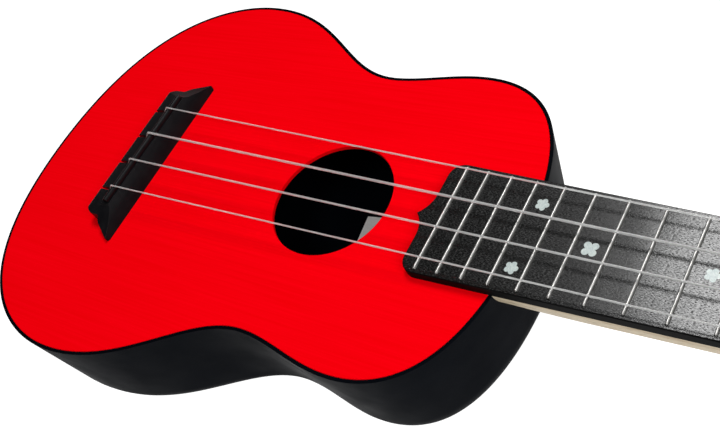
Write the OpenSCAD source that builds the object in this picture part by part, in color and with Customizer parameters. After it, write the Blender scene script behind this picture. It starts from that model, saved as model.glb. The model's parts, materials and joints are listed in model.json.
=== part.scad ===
// Soprano ukulele: moulded bowl body, wooden top, wooden neck, open-geared tuners.
// It lies on its flat back. +X is the A-string side, +Y points to the headstock.
// The origin is on the back, under the point where the 350 mm scale ends.

/* [Scale] */
// String length from the nut to the theoretical saddle line
scale_len = 350; // [348:1:352]
// Number of frets
fret_count = 15; // [12:1:15]
// Width of the fretboard at the nut
nut_w = 34.6; // [34:0.2:35.4]
// Width that the fretboard's taper reaches at the saddle line
taper_w = 54.7; // [54:0.1:55.4]
// Distance between neighbouring strings at the saddle
string_gap_saddle = 14.4; // [14:0.1:14.8]
// Distance between neighbouring strings at the nut
string_gap_nut = 10; // [9.6:0.1:10.2]
// Sideways shift of the set of strings towards the A side
string_shift = 0.4; // [0:0.1:0.6]

/* [Body] */
// Height of the top above the flat back
body_depth = 56; // [54:1:60]
// Width of the lower bout, without the rim
lower_bout_w = 184; // [182:1:186]
// Width of the waist, without the rim
waist_w = 119; // [117:1:121]
// Width of the upper bout, without the rim
upper_bout_w = 130; // [128:1:132]
// Wall of the bowl
wall = 3.2; // [2.8:0.1:3.4]
// Black rim that shows around the top
rim_w = 1.4; // [1.2:0.1:1.6]
// Thickness of the top
top_t = 1.6; // [1.5:0.1:2]
// Radius of the sound hole
hole_r = 25.2; // [24:0.2:26]
// Distance of the sound hole's centre from the saddle line
hole_y = 96.2; // [95:0.2:97]

/* [Fretboard and strings] */
// Thickness of the fretboard
board_t = 3.8; // [3.6:0.1:4]
// Height of the fret crowns
fret_h = 0.8; // [0.7:0.05:0.9]
// Gap from a fret's end to the fretboard's edge
fret_inset = 1.4; // [1:0.1:1.6]
// Height of the saddle's crown above the top
saddle_h = 10.2; // [9.9:0.1:10.4]
// Height of the nut's slots above the top
nut_slot_h = 5.8; // [5.5:0.1:5.9]

/* [Neck] */
// Depth of the neck's wood under the fretboard at the nut
neck_d_nut = 12.5; // [12:0.5:14]
// Depth of the neck's wood where the heel begins
neck_d_heel = 14.5; // [14.5:0.5:16]
// Depth of the heel where it meets the body
heel_d = 35; // [35:1:37]
// Angle by which the headstock leans back
head_tilt = 12; // [10:1:13]
// Thickness of the headstock's wood
head_t = 11; // [10.5:0.5:11.5]
// Length of the headstock
head_len = 108; // [106:1:112]
// Width of the headstock at its widest
head_w = 52; // [51:1:54]

/* [Tuners] */
// Teeth on each tuner's gear, one for each turn of the knob
gear_teeth = 14; // [14]
// Module of the worm and gear
gear_m = 0.6; // [0.6]
// Distance of the posts from the middle of the headstock
post_x = 14.5; // [14:0.5:15]
// Distance from the nut to the nearer posts
post_u1 = 34; // [33:1:36]
// Distance from the nut to the farther posts
post_u2 = 74; // [72:1:76]

/* [Hidden] */
$fn = 64;

// Levels above the flat back
top_z = body_depth;
under_top_z = top_z - top_t;
board_z = top_z + board_t;

// Body outline, one half from the tail's middle to the neck end's middle.
// Each span is a cubic curve that leaves and arrives along X or Y.
tail_y = -67.5;
neck_end_y = 176.5;
lower_y = 4;
waist_y = 91;
upper_y = 132;
lower_x = lower_bout_w / 2;
waist_x = waist_w / 2;
upper_x = upper_bout_w / 2;
spans = [
  [[0, tail_y], [73.5, tail_y], [lower_x, lower_y - 28], [lower_x, lower_y]],
  [[lower_x, lower_y], [lower_x, lower_y + 42.5], [waist_x, waist_y - 27.5], [waist_x, waist_y]],
  [[waist_x, waist_y], [waist_x, waist_y + 13.5], [upper_x, upper_y - 14.5], [upper_x, upper_y]],
  [[upper_x, upper_y], [upper_x, upper_y + 15.5], [59.5, neck_end_y], [0, neck_end_y]]
];
span_steps = [14, 12, 9, 15];

function curve(p, t) = pow(1 - t, 3) * p[0] + 3 * pow(1 - t, 2) * t * p[1]
  + 3 * (1 - t) * t * t * p[2] + t * t * t * p[3];
function slope(p, t) = pow(1 - t, 2) * (p[1] - p[0]) + 2 * (1 - t) * t * (p[2] - p[1])
  + t * t * (p[3] - p[2]);
function unit(v) = v / norm(v);
function flip(p) = [-p[0], p[1]];

// Points of the right half and the outward direction at each of them
half_pts = concat([for (s = [0:3]) for (i = [0:span_steps[s] - 1])
  curve(spans[s], i / span_steps[s])], [[0, neck_end_y]]);
half_out = concat([for (s = [0:3]) for (i = [0:span_steps[s] - 1])
  let (d = unit(slope(spans[s], i / span_steps[s]))) [d[1], -d[0]]], [[0, 1]]);
half_n = len(half_pts);
body_pts = concat(half_pts, [for (i = [half_n - 2:-1:1]) flip(half_pts[i])]);
body_out = concat(half_out, [for (i = [half_n - 2:-1:1]) flip(half_out[i])]);

function inset_outline(d) = [for (i = [0:len(body_pts) - 1]) body_pts[i] - d * body_out[i]];

// Lean of the bowl's wall and radius of its lower edge, at the tail, waist and neck end
draft_tail = 3.8;
draft_waist = 7;
draft_neck = 7;
edge_tail = 24;
edge_waist = 9;
edge_neck = 17;
function ease(t) = t * t * (3 - 2 * t);
function blend3(y, a, b, c) = y < waist_y
  ? a + (b - a) * ease((y - tail_y) / (waist_y - tail_y))
  : b + (c - b) * ease((y - waist_y) / (neck_end_y - waist_y));
function draft_at(y) = blend3(y, draft_tail, draft_waist, draft_neck);
function edge_at(y) = blend3(y, edge_tail, edge_waist, edge_neck);

// Bowl section, as [distance in from the top's outline, height].
// step runs from 0 at the straight wall's foot to 1 on the flat back.
edge_steps = 6;
function big_r(y) = edge_at(y) / (1 - sin(draft_at(y)));
function foot_in(y) = tan(draft_at(y)) * (body_depth - edge_at(y)) - rim_w;
function edge_point(y, thick, step) = let (a = draft_at(y) + (90 - draft_at(y)) * step)
  [foot_in(y) + big_r(y) * cos(draft_at(y)) - (big_r(y) - thick) * cos(a),
   edge_at(y) + big_r(y) * sin(draft_at(y)) - (big_r(y) - thick) * sin(a)];
function wall_point(y, thick, z) = [tan(draft_at(y)) * (body_depth - z) - rim_w + thick, z];

// Ledge inside the rim that carries the top
ledge_w = 6;
ledge_t = 3.5;
fit_gap = 0.06;
function section(y) = concat(
  [for (k = [edge_steps:-1:0]) edge_point(y, wall, k / edge_steps)],
  [wall_point(y, wall, under_top_z - ledge_t - 7), [ledge_w, under_top_z - ledge_t],
   [ledge_w, under_top_z], [-fit_gap, under_top_z], [-fit_gap, top_z], [-rim_w, top_z]],
  [for (k = [0:edge_steps]) edge_point(y, 0, k / edge_steps)]);

// Faces that fill the end of a wall length: a ladder up the curved edge, then the
// straight wall, and last the rim with its ledge
function section_cap() = let (e = edge_steps, n = len(section(0))) concat(
  [for (i = [0:e - 1]) each [[i, i + 1, n - 2 - i], [i, n - 2 - i, n - 1 - i]]],
  [[e, e + 1, e + 7], [e + 1, e + 6, e + 7], [e + 1, e + 4, e + 6], [e + 4, e + 5, e + 6],
   [e + 1, e + 2, e + 4], [e + 2, e + 3, e + 4]]);

// Closed skin over a stack of rings; the first and last ring are filled with the faces
// in cap, or each with one face.
// Rings run anticlockwise as seen when looking from the first ring to the last.
module loft(rings, cap = []) {
  n = len(rings[0]);
  m = len(rings);
  points = [for (r = rings) for (p = r) p];
  sides = [for (k = [0:m - 2]) for (i = [0:n - 1])
    let (a = k * n + i, b = k * n + (i + 1) % n) each [[a, b, b + n], [a, b + n, a + n]]];
  fill = len(cap) > 0 ? cap : [[for (i = [0:n - 1]) i]];
  first = [for (f = fill) [for (k = [len(f) - 1:-1:0]) f[k]]];
  last = [for (f = fill) [for (i = f) (m - 1) * n + i]];
  polyhedron(points, concat(first, last, sides), convexity = 10);
}

// Neck joint: two screws from inside the body into the heel
block_l = 18;
neck_screw_z = [top_z - 6, top_z - 14.5];
neck_screw_r = 2;
neck_screw_y0 = neck_end_y - ledge_w - block_l - 1;
neck_screw_l = 42;

// The bowl is one moulding, made here as a flat back and a chain of wall lengths that meet
// face to face, so that its collision hulls follow the wall. Each length runs from one
// outline point to a later one, counted anticlockwise from the tail's middle.
tail_end = 5;
lower_end = 18;
waist_end = 31;
upper_end = 46;
neck_middle = half_n - 1;
outline_n = len(body_pts);
module wall_length(first, last) {
  rings = [for (i = [last:-1:first]) let (p = body_pts[i])
    [for (s = section(p[1])) let (q = p - s[0] * body_out[i]) [q[0], q[1], s[1]]]];
  color([0.08, 0.08, 0.09]) loft(rings, section_cap());
}

module bowl_back() {
  color([0.08, 0.08, 0.09])
  linear_extrude(wall)
    polygon([for (i = [0:outline_n - 1])
      body_pts[i] - edge_point(body_pts[i][1], 0, 1)[0] * body_out[i]]);
}

module bowl_neck_end() {
  difference() {
    wall_length(upper_end, 2 * neck_middle - upper_end);
    for (z = neck_screw_z)
      translate([0, neck_screw_y0, z])
        rotate([-90, 0, 0])
          cylinder(r = neck_screw_r + 0.1, h = neck_screw_l);
  }
}

module soundboard() {
  color([0.9, 0.03, 0.03])
  translate([0, 0, under_top_z])
    difference() {
      linear_extrude(top_t) polygon(inset_outline(0));
      translate([0, hole_y, -1]) cylinder(r = hole_r, h = top_t + 2, $fn = 96);
    }
}

// Bar under the top whose ends slope up to it
module brace(y, half_l, w, h) {
  tip = 18;
  translate([0, y + w / 2, under_top_z])
    rotate([90, 0, 0])
      linear_extrude(w)
        polygon([[-half_l, 0], [-half_l, -1.5], [tip - half_l, -h], [half_l - tip, -h],
          [half_l, -1.5], [half_l, 0]]);
}

module brace_upper() {
  color("burlywood") brace(131, 56, 6, 8);
}

module brace_lower() {
  color("burlywood") brace(44, 60, 6, 9);
}

module bridge_plate() {
  color("burlywood")
  translate([0, -7, under_top_z - 2])
    linear_extrude(2)
      polygon([[-48, -9], [-40, -14], [40, -14], [48, -9], [48, 9], [40, 14], [-40, 14], [-48, 9]]);
}

module neck_block() {
  block_h = 30;
  block_w = 42;
  color("burlywood")
  difference() {
    translate([0, 0, under_top_z - block_h])
      linear_extrude(block_h)
        intersection() {
          translate([-block_w / 2, neck_end_y - ledge_w - 0.2 - block_l]) square([block_w, block_l]);
          polygon(inset_outline(ledge_w + 0.2));
        }
    for (z = neck_screw_z)
      translate([0, neck_screw_y0 - 5, z])
        rotate([-90, 0, 0])
          cylinder(r = neck_screw_r + 0.1, h = neck_screw_l);
  }
}

// Pan-head screw along +Z with its head's seat at z = 0 and a cross recess
module screw(r, l, head_r, head_h) {
  difference() {
    union() {
      cylinder(r = r, h = l - 2 * r, $fn = 32);
      translate([0, 0, l - 2 * r]) cylinder(r1 = r, r2 = r * 0.2, h = 2 * r, $fn = 32);
      rotate_extrude($fn = 48)
        polygon(concat([[0, 0], [0, -head_h]],
          [for (a = [75:-15:0]) [head_r * cos(a), -head_h * (0.35 + 0.65 * sin(a))]],
          [[head_r, 0]]));
    }
    for (a = [0, 90])
      rotate(a)
        translate([-head_r * 0.55, -head_r * 0.11, -head_h - 1])
          cube([head_r * 1.1, head_r * 0.22, 1 + head_h * 0.55]);
  }
}

module neck_screws() {
  color("silver")
  for (z = neck_screw_z)
    translate([0, neck_end_y - ledge_w - 0.2 - block_l, z])
      rotate([-90, 0, 0])
        screw(neck_screw_r, neck_screw_l - 1, 4, 2.4);
}

// Blank paper label glued inside the back, under the sound hole
module label() {
  color("white")
  translate([-24.4, hole_y - 23.1, wall])
    rotate(7)
      cube([50, 42, 0.15]);
}

function board_half(y) = (taper_w + (nut_w - taper_w) * y / scale_len) / 2;
function fret_y(n) = scale_len * pow(2, -n / 12);

// Neck and heel: rings from the body to the headstock, each a rounded D
// given by [y at the top, half width, depth, squareness, lean]
heel_y = neck_end_y + rim_w + 0.08;
neck_end = scale_len + 4;
ring_n = 20;
heel_run = 34;
// Squareness of the neck's section, below 1 for full sides, and what the heel adds to it
neck_round = 0.8;
heel_round = 0.65;
function d_ring(y, hw, d, sq, lean) = [for (i = [0:ring_n])
  let (a = 180 * i / ring_n, c = cos(a), x = hw * sign(c) * pow(abs(c), sq),
    z = -d * pow(sin(a), sq)) [x, y + lean * z, top_z + z]];
function heel_t(y) = max(0, 1 - (y - heel_y) / heel_run);
function neck_depth(y) = neck_d_nut + (neck_d_heel - neck_d_nut) * (scale_len - y)
  / (scale_len - heel_y - heel_run);
function heel_depth(y) = let (t = heel_t(y))
  t > 0 ? neck_d_heel + (heel_d - neck_d_heel) * (1 - pow(1 - pow(t, 1.7), 1 / 1.7)) : neck_depth(y);
neck_ys = concat([for (t = [1, 0.985, 0.95, 0.89, 0.8, 0.68, 0.53, 0.36, 0.18])
  heel_y + heel_run * (1 - t)], [for (k = [0:4]) heel_y + heel_run
  + k * (neck_end - heel_y - heel_run) / 4]);
neck_rings = concat([for (y = neck_ys)
  d_ring(y, board_half(y), heel_depth(y), neck_round + heel_round * pow(heel_t(y), 1.7),
    tan(draft_neck) * heel_t(y))],
  [[for (p = d_ring(0, nut_w / 2, head_t - 0.2, 0.45, 0)) head_world([p[0], 7, p[2] - top_z])]]);

// Headstock coordinates: u along it from the nut, w out of its face
function head_world(p) = [p[0], neck_end + p[1] * cos(head_tilt) + p[2] * sin(head_tilt),
  top_z - p[1] * sin(head_tilt) + p[2] * cos(head_tilt)];
module on_head() {
  translate([0, neck_end, top_z]) rotate([-head_tilt, 0, 0]) children();
}

// Headstock outline: shoulders flare from the nut, and the tip is a low bracket
shoulder_u = 20;
tip_r = 9;
hw = head_w / 2;
head_spans = [
  [[nut_w / 2, 0], [nut_w / 2 + 0.6, 7], [hw - 2.4, 9], [hw - 1.6, shoulder_u]],
  [[hw, head_len - 17], [hw, head_len - 9], [15, head_len - 8], [9, head_len - 4.5]],
  [[9, head_len - 4.5], [6, head_len - 2.5], [3, head_len], [0, head_len]]
];
head_half = concat([for (s = [0:2]) for (i = [0:7]) curve(head_spans[s], i / 8)], [[0, head_len]]);
head_outline = concat(head_half, [for (i = [len(head_half) - 2:-1:0]) flip(head_half[i])]);

// Tuner layout: side is 1 on the A and E side and -1 on the G and C side
face_t = 1;
bush_r = 4.2;
plate_t = 0.9;
plate_l0 = -14;
plate_l1 = 10;
tuner_screw_u = [-12, 8];
posts = [[-1, post_u1], [-1, post_u2], [1, post_u2], [1, post_u1]];
module at_post(i) {
  on_head()
    translate([posts[i][0] * post_x, posts[i][1], 0])
      mirror([posts[i][0] < 0 ? 1 : 0, 0, 0])
        children();
}

module neck() {
  color([0.66, 0.6, 0.5])
  difference() {
    union() {
      loft([for (k = [len(neck_rings) - 1:-1:0]) neck_rings[k]]);
      on_head() translate([0, 0, -head_t]) linear_extrude(head_t) polygon(head_outline);
    }
    for (i = [0:3]) at_post(i) {
      translate([0, 0, -head_t - 1]) cylinder(r = bush_r + 0.04, h = head_t + 4);
      for (u = tuner_screw_u)
        translate([0, u, -head_t - 1]) cylinder(r = 0.95, h = 9, $fn = 32);
    }
    for (z = neck_screw_z)
      translate([0, neck_screw_y0, z])
        rotate([-90, 0, 0])
          cylinder(r = neck_screw_r + 0.04, h = neck_screw_l + 3);
  }
}

module headstock_face() {
  color([0.1, 0.1, 0.1])
  difference() {
    on_head() linear_extrude(face_t) polygon(head_outline);
    for (i = [0:3]) at_post(i)
      translate([0, 0, -1]) cylinder(r = bush_r + 0.04, h = face_t + 2);
    translate([-30, neck_end - 4, top_z - 1]) cube([60, 4.05, 10]);
  }
}

// Fretboard: its end towards the sound hole is a bracket, with a low point in the
// middle, hollow flanks and round corners
board_end_y = 140.8;
board_point_y = 136.7;
flank_x = 9;
flank_drop = board_end_y - board_point_y;
flank_r = (flank_x * flank_x + flank_drop * flank_drop) / (2 * flank_drop);
corner_r = 5.5;
end_hw = board_half(board_end_y + corner_r);
board_half_pts = concat(
  [for (k = [0:6]) let (x = flank_x * k / 6)
    [x, board_end_y - flank_r + sqrt(flank_r * flank_r - pow(x - flank_x, 2))]],
  [for (a = [-90:15:0]) [end_hw - corner_r + corner_r * cos(a),
    board_end_y + corner_r + corner_r * sin(a)]],
  [[nut_w / 2, scale_len]]);
board_pts = concat(board_half_pts,
  [for (i = [len(board_half_pts) - 1:-1:1]) flip(board_half_pts[i])]);

// Places of the inlays as [x, y, petals], each in the middle of a fret space
function space_y(n) = (fret_y(n) + fret_y(n - 1)) / 2;
inlay_at = [[-12.7, space_y(12), 5], [12.7, space_y(12), 5], [0, space_y(10), 4],
  [0, space_y(7), 5], [0, space_y(5), 4]];
inlay_t = 1;

// Flat flower with round petals, or a cross of four petals
module flower(petals, gap) {
  reach = petals == 5 ? 1.5 : 1.75;
  petal_r = petals == 5 ? 1 : 1.3;
  circle(r = 1 - gap, $fn = 24);
  for (k = [0:petals - 1])
    rotate(90 + (petals == 4 ? 45 : 0) + k * 360 / petals)
      translate([reach, 0]) circle(r = petal_r - gap, $fn = 24);
}

slot_w = 0.6;
slot_d = 1.8;
module fretboard() {
  color([0.12, 0.12, 0.12])
  difference() {
    translate([0, 0, top_z]) linear_extrude(board_t) polygon(board_pts);
    for (n = [1:fret_count])
      let (l = board_half(fret_y(n)) - fret_inset)
        translate([-l, fret_y(n) - slot_w / 2, board_z - slot_d]) cube([2 * l, slot_w, 5]);
    for (p = inlay_at)
      translate([p[0], p[1], board_z - inlay_t]) linear_extrude(3) flower(p[2], 0);
  }
}

fret_half_w = 0.6;
fret_crown_r = (fret_half_w * fret_half_w + fret_h * fret_h) / (2 * fret_h);
module frets() {
  tang_w = slot_w - 0.04;
  color("silver")
  for (n = [1:fret_count])
    let (l = board_half(fret_y(n)) - fret_inset - 0.02)
      translate([-l, fret_y(n), board_z])
        rotate([90, 0, 90])
          linear_extrude(2 * l) {
            intersection() {
              translate([0, fret_h - fret_crown_r]) circle(r = fret_crown_r, $fn = 40);
              translate([-2, 0]) square([4, 2]);
            }
            translate([-tang_w / 2, 0.1 - slot_d]) square([tang_w, slot_d]);
          }
}

module inlays() {
  color([0.92, 0.93, 0.9])
  for (p = inlay_at)
    translate([p[0], p[1], board_z - inlay_t]) linear_extrude(inlay_t + 0.05) flower(p[2], 0.03);
}

// Strings, in the order g, c, e, a from -X to +X
string_r = [0.33, 0.48, 0.41, 0.33];
saddle_y = -4;
saddle_r = 1.4;
nut_l = 4;
function saddle_x(i) = (i - 1.5) * string_gap_saddle + string_shift;
function nut_x(i) = (i - 1.5) * string_gap_nut + string_shift;

// Bridge: plan outline, half of it from the middle of the long front edge
bridge_front = 2.2;
bridge_rear = -15.2;
bridge_tip = 42.4;
bridge_half_pts = concat(
  [[0, bridge_front], [bridge_tip - 0.8, bridge_front], [bridge_tip, bridge_front - 0.9],
   [37.6, -5.4]],
  [for (t = [0:0.25:1]) curve([[37.6, -5.4], [37.2, -6.4], [35, -6.5], [34.4, -7.6]], t)],
  [for (a = [0:15:90]) [30.5 + 3.9 * cos(a), -11.3 - 3.9 * sin(a)]]);
bridge_pts = concat(bridge_half_pts,
  [for (i = [len(bridge_half_pts) - 1:-1:1]) flip(bridge_half_pts[i])]);

// Bridge section from rear to front, as [y, height above the top]
bridge_section = [[bridge_rear - 1, -1], [bridge_rear - 1, 5.6], [-13.9, 6.7], [-7.6, 7.3],
  [-6.4, 8.2], [-2, 8.2], [0.6, 4.9], [bridge_front, 0], [bridge_front, -1]];
// Wing tops fall from the middle block to the tips
wing_x = 31;
saddle_slot = [-5.4, -2.6];
saddle_half = 29;
saddle_foot = 3;
knot_y = -12.6;
knot_z = 3;
knot_r = 1.35;

module bridge() {
  color([0.09, 0.09, 0.09])
  translate([0, 0, top_z])
    difference() {
      intersection() {
        linear_extrude(12) polygon(bridge_pts);
        translate([-50, 0, 0]) rotate([90, 0, 90]) linear_extrude(100) polygon(bridge_section);
        translate([0, 10, 0]) rotate([90, 0, 0]) linear_extrude(40)
          polygon([[-50, -1], [-bridge_tip - 1, 1.6], [-wing_x, 7], [-wing_x + 2, 9],
            [wing_x - 2, 9], [wing_x, 7], [bridge_tip + 1, 1.6], [50, -1]]);
      }
      translate([-saddle_half, saddle_slot[0], saddle_foot])
        cube([2 * saddle_half, saddle_slot[1] - saddle_slot[0], 10]);
      for (i = [0:3])
        translate([saddle_x(i), 0, 0]) {
          translate([-0.55, 0, 0])
            rotate([90, 0, 90])
              linear_extrude(1.1)
                polygon([[-20, knot_z - 1], [knot_y, knot_z - 1], [-5.4, 8.1], [-5.4, 10], [-8.2, 10],
                  [-20, 10]]);
          translate([-1.9, -20, 1])
            cube([3.8, 20 + knot_y + 1.9, 3.9]);
        }
    }
}

module saddle() {
  color([0.1, 0.1, 0.1])
  translate([-saddle_half + 0.1, saddle_y, top_z])
    rotate([90, 0, 90])
      linear_extrude(2 * saddle_half - 0.2) {
        translate([-saddle_r + 0.05, saddle_foot])
          square([2 * saddle_r - 0.1, saddle_h - saddle_foot - saddle_r]);
        intersection() {
          translate([0, saddle_h - saddle_r]) circle(r = saddle_r);
          translate([-saddle_r + 0.05, 0]) square([2 * saddle_r - 0.1, 20]);
        }
      }
}

// Nut: a block with a slot for each string
nut_top = nut_slot_h + 0.9;
module nut() {
  color([0.1, 0.1, 0.1])
  difference() {
    translate([-nut_w / 2, scale_len + 0.02, top_z])
      rotate([90, 0, 90])
        linear_extrude(nut_w)
          polygon(concat([[0, 0], [0, nut_top]],
            [for (a = [90:-15:0]) [nut_l - 2.9 + 2.8 * cos(a), nut_top - 2.8 + 2.8 * sin(a)]],
            [[nut_l - 0.1, 0]]));
    for (i = [0:3])
      translate([nut_x(i), scale_len + nut_l / 2, top_z + nut_slot_h + string_r[i]]) {
        rotate([90, 0, 0]) cylinder(r = string_r[i] + 0.04, h = 12, center = true, $fn = 24);
        translate([-string_r[i] - 0.04, -6, 0]) cube([2 * string_r[i] + 0.08, 12, 5]);
        translate([-string_r[i] - 0.04, -0.5, -string_r[i] - 0.04])
          rotate([-head_tilt - 8, 0, 0])
            cube([2 * string_r[i] + 0.08, 8, 5]);
      }
  }
}

// Post and winding levels above the headstock's wood
wind_w = 4;
wind_turns = 3;
post_waist_r = 2.5;
function wind_r(i) = post_waist_r + 0.07 + string_r[i];
function wind_pitch(i) = 2 * string_r[i] + 0.04;
function string_post(i) = [posts[i][0] * post_x, posts[i][1]];

// One string's route: knot, saddle, nut, then turns up its post, which it meets on the
// side that faces the middle of the headstock
function wind_point(i, turn) = let (c = string_post(i), s = posts[i][0], r = wind_r(i),
  a = (s > 0 ? 180 : 0) - s * 360 * turn)
  head_world([c[0] + r * cos(a), c[1] + r * sin(a), wind_w + string_r[i] + wind_pitch(i) * turn]);
function route(i) = let (r = string_r[i], xs = saddle_x(i), xn = nut_x(i), q = saddle_r + r + 0.02,
  cz = top_z + saddle_h - saddle_r)
  concat(
    [[xs, knot_y - 1.9, top_z + knot_z - 0.6], [xs, knot_y - 1.1, top_z + knot_z - 0.4],
     [xs, knot_y, top_z + knot_z], [xs, knot_y + 1, top_z + knot_z + 0.8],
     [xs, knot_y + 1.4, top_z + knot_z + 1.15]],
    [for (a = [132:-10:92]) [xs, saddle_y + q * cos(a), cz + q * sin(a)]],
    [[xn, scale_len + 0.3, top_z + nut_slot_h + r + 0.01],
     [xn, scale_len + 1.2, top_z + nut_slot_h + r],
     [xn, scale_len + 2.2, top_z + nut_slot_h + r - 0.12]],
    [for (k = [0:12 * wind_turns]) wind_point(i, k / 12)]);
function route_r(i, k) = k == 0 ? knot_r * 0.5 : k == 1 ? knot_r : k == 2 ? knot_r
  : k == 3 ? knot_r * 0.6 : string_r[i];

tube_sides = 8;
function tangent(p, k) = unit(p[min(k + 1, len(p) - 1)] - p[max(k - 1, 0)]);
module tube(p, radii) {
  rings = [for (k = [0:len(p) - 1])
    let (t = tangent(p, k), side = unit(cross(t, [0, 0, 1])), up = cross(side, t))
      [for (j = [0:tube_sides - 1]) let (a = 360 * j / tube_sides)
        p[k] + radii[k] * (cos(a) * side + sin(a) * up)]];
  loft(rings);
}
module string(i) {
  p = route(i);
  color([0.85, 0.85, 0.83])
  tube(p, [for (k = [0:len(p) - 1]) route_r(i, k)]);
}
module string_g() {
  string(0);
}
module string_c() {
  string(1);
}
module string_e() {
  string(2);
}
module string_a() {
  string(3);
}

// Bushings: sleeves pressed into the headstock, with a collar on its face
module bushings() {
  color("silver")
  for (i = [0:3]) at_post(i)
    rotate_extrude()
      polygon([[3.05, -6], [bush_r, -6], [bush_r, face_t], [5.4, face_t], [5.4, face_t + 0.7],
        [4.9, face_t + 1.2], [3.05, face_t + 1.2]]);
}

module tuner_screws() {
  color("silver")
  for (i = [0:3]) at_post(i)
    for (u = tuner_screw_u)
      translate([0, u, -head_t - plate_t]) screw(0.9, 7.5, 1.8, 1.1);
}

// Worm and gear: the worm lies across the headstock, on the nut side of the post
gear_r = gear_m * gear_teeth / 2;
worm_r = 2.2;
centre_d = gear_r + worm_r;
gear_w = -head_t - plate_t - 3;
gear_t = 2;
worm_pitch = PI * gear_m;
worm_half = 4.8;
shaft_r = 1.5;
ear_x = [5, 6.2];

module plate() {
  ear_drop = plate_t - head_t - gear_w - 2 * plate_t;
  color([0.75, 0.75, 0.77])
  difference() {
    union() {
      translate([0, 0, -head_t - plate_t])
        linear_extrude(plate_t) {
          for (u = [plate_l0 + 4, plate_l1 - 4]) translate([0, u]) circle(r = 4);
          translate([-4, plate_l0 + 4]) square([8, plate_l1 - plate_l0 - 8]);
          translate([-ear_x[1], -centre_d - 2.8]) square([2 * ear_x[1], 5.6]);
        }
      for (side = [-1, 1])
        translate([side > 0 ? ear_x[0] : -ear_x[1], -centre_d, 0])
          rotate([90, 0, 90])
            linear_extrude(ear_x[1] - ear_x[0]) {
              translate([0, gear_w]) circle(r = 2.8);
              translate([-2.8, gear_w]) square([5.6, -head_t - gear_w]);
            }
    }
    translate([0, 0, -head_t - 3]) cylinder(r = 3.2, h = 4);
    for (u = tuner_screw_u)
      translate([0, u, -head_t - 3]) cylinder(r = 1.1, h = 4, $fn = 32);
    translate([-10, -centre_d, gear_w]) rotate([0, 90, 0]) cylinder(r = shaft_r + 0.06, h = 20);
  }
}

// Gear outline: straight-sided teeth, thin enough to leave play in the worm
module gear_shape() {
  tip = gear_r + 0.5;
  root = gear_r - 0.68;
  half_tip = 1.3;
  half_root = 6.2;
  polygon([for (k = [0:gear_teeth - 1]) let (a = -90 + k * 360 / gear_teeth)
    each [[root * cos(a - 360 / gear_teeth + half_root), root * sin(a - 360 / gear_teeth + half_root)],
      [root * cos(a - half_root), root * sin(a - half_root)],
      [tip * cos(a - half_tip * 1.6), tip * sin(a - half_tip * 1.6)],
      [tip * cos(a + half_tip * 1.6), tip * sin(a + half_tip * 1.6)]]]);
}

module gear() {
  color([0.78, 0.62, 0.3])
  translate([0, 0, gear_w - gear_t / 2])
    difference() {
      linear_extrude(gear_t) gear_shape();
      translate([0, 0, -1]) cylinder(r = 1.82, h = gear_t + 2);
    }
}

// Thread height around the worm: a tooth gap faces the gear's nearest tooth at x = 0
thread_out = 0.55;
thread_in = 0.62;
function thread_r(f) = let (d = abs(f - floor(f) - 0.5) * 2)
  worm_r + (d < 0.22 ? thread_out : d > 0.5 ? -thread_in
    : thread_out - (thread_out + thread_in) * (d - 0.22) / 0.28);
ring_a = 18;
worm_steps = 30;
module worm() {
  rings = [for (k = [0:worm_steps]) let (x = worm_half * (2 * k / worm_steps - 1))
    [for (j = [0:ring_a - 1]) let (a = -360 * j / ring_a, r = thread_r(x / worm_pitch - a / 360))
      [x, -centre_d + r * cos(a), gear_w + r * sin(a)]]];
  color([0.7, 0.7, 0.72])
  union() {
    loft(rings);
    translate([-7, -centre_d, gear_w]) rotate([0, 90, 0]) cylinder(r = shaft_r, h = 2.6);
    translate([worm_half - 0.4, -centre_d, gear_w]) rotate([0, 90, 0])
      cylinder(r = shaft_r, h = button_x + 6.4 - worm_half);
  }
}

// Knob: turned body with two flats, on the worm's shaft
button_x = 13.6;
button_l = 13;
button_r = 7;
button_flat = 3.8;
module button() {
  color([0.07, 0.07, 0.07])
  translate([0, -centre_d, gear_w])
    rotate([0, 90, 0])
      difference() {
        intersection() {
          rotate_extrude()
            polygon(concat([[0, button_x], [3, button_x], [3.2, button_x + 1.6]],
              [for (a = [-60:15:75]) [button_r - 2.6 + 2.6 * cos(a),
                button_x + 7.6 + (a < 0 ? 4.4 : 5.4) * sin(a)]],
              [[3.4, button_x + button_l], [0, button_x + button_l]]));
          translate([-button_flat, -10, 0]) cube([2 * button_flat, 20, 40]);
        }
        cylinder(r = shaft_r + 0.02, h = button_x + 6.02);
        translate([0, 0, button_x + 5]) cylinder(r = 0.92, h = 20, $fn = 32);
      }
}

module button_screw() {
  color("silver")
  translate([button_x + button_l, -centre_d, gear_w])
    rotate([0, -90, 0])
      screw(0.9, button_l - 6.2, 2, 1);
}

module post() {
  w0 = gear_w + gear_t / 2;
  color("silver")
  difference() {
    rotate_extrude()
      polygon(concat([[0, w0 - gear_t], [1.8, w0 - gear_t], [1.8, w0], [3, w0], [3, wind_w - 0.9],
          [post_waist_r, wind_w - 0.3], [post_waist_r, wind_w + 4.4], [3, wind_w + 5]],
        [[3, wind_w + 6.2]],
        [for (a = [0:22.5:90]) [2.2 + 0.8 * cos(a), wind_w + 6.4 + 0.8 * sin(a)]],
        [[0, wind_w + 7.2]]));
    translate([-5, 0, wind_w + 3.6]) rotate([0, 90, 0]) cylinder(r = 0.75, h = 10, $fn = 24);
    translate([0, 0, w0 - gear_t - 1]) cylinder(r = 0.92, h = 6, $fn = 32);
  }
}

module gear_screw() {
  color("silver")
  translate([0, 0, gear_w - gear_t / 2]) screw(0.9, 4.6, 2.6, 1.2);
}

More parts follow.
